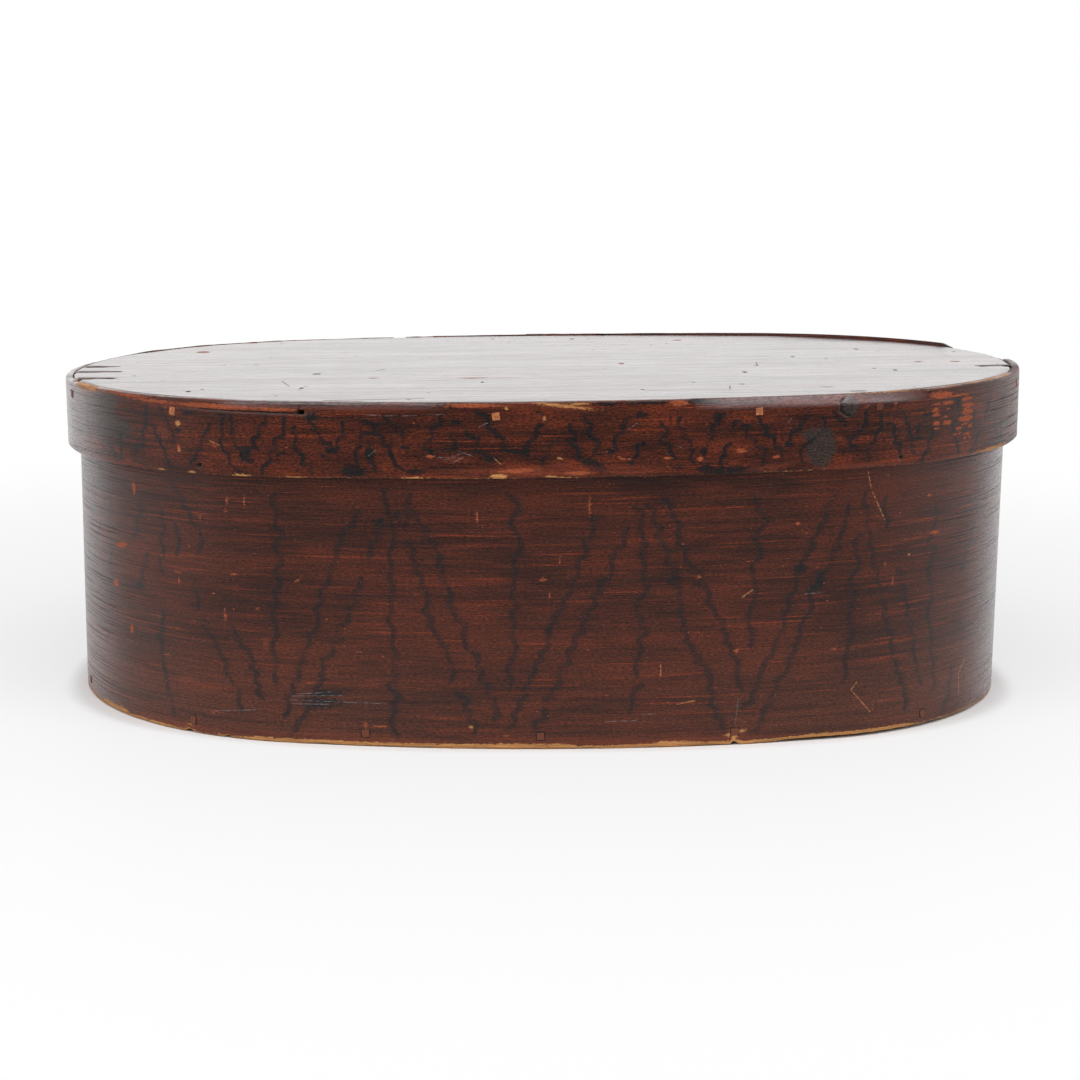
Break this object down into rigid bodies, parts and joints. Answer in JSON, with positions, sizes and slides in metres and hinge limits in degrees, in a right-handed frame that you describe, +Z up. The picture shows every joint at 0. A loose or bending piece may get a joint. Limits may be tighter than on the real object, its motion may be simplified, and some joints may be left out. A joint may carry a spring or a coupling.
{
  "type": "oval bentwood box",
  "caption": "Oval bentwood box with a lift-off lid: bent bands with fingered laps, pegged boards, worn grain-painted finish.",
  "frame": {"origin": "on the floor, at the middle of the oval, in the underside of the bottom board", "axes": "+X along the box's length to the right as seen from the front, -Y towards the front, +Z up"},
  "size_m": [0.5086, 0.3278, 0.1749],
  "materials": {
    "body_paint": "satin varnish over dark red-brown grain painting, worn at the edges",
    "lid_paint": "satin varnish over red-brown grain painting, worn to bare wood at the edges",
    "lid_top_paint": "glossy dark varnish with nicks and end checks",
    "bottom_wood": "bare aged pine",
    "peg_wood": "whittled pegs, partly painted over",
    "tack_metal": "dull aged copper with worn paint"
  },
  "bodies": {
    "box": {"body_band": "body_paint", "bottom_board": "bottom_wood", "bottom_pegs": "peg_wood", "body_lap_tacks": "tack_metal"},
    "lid": {"lid_band": "lid_paint", "lid_board": "lid_top_paint", "lid_pegs": "peg_wood", "lid_lap_tacks": "tack_metal"}
  },
  "joints": [
    {"name": "lid_lift", "type": "slide", "parent": "box", "child": "lid", "axis": [0, 0, 1], "range_m": [0, 0.12]}
  ]
}
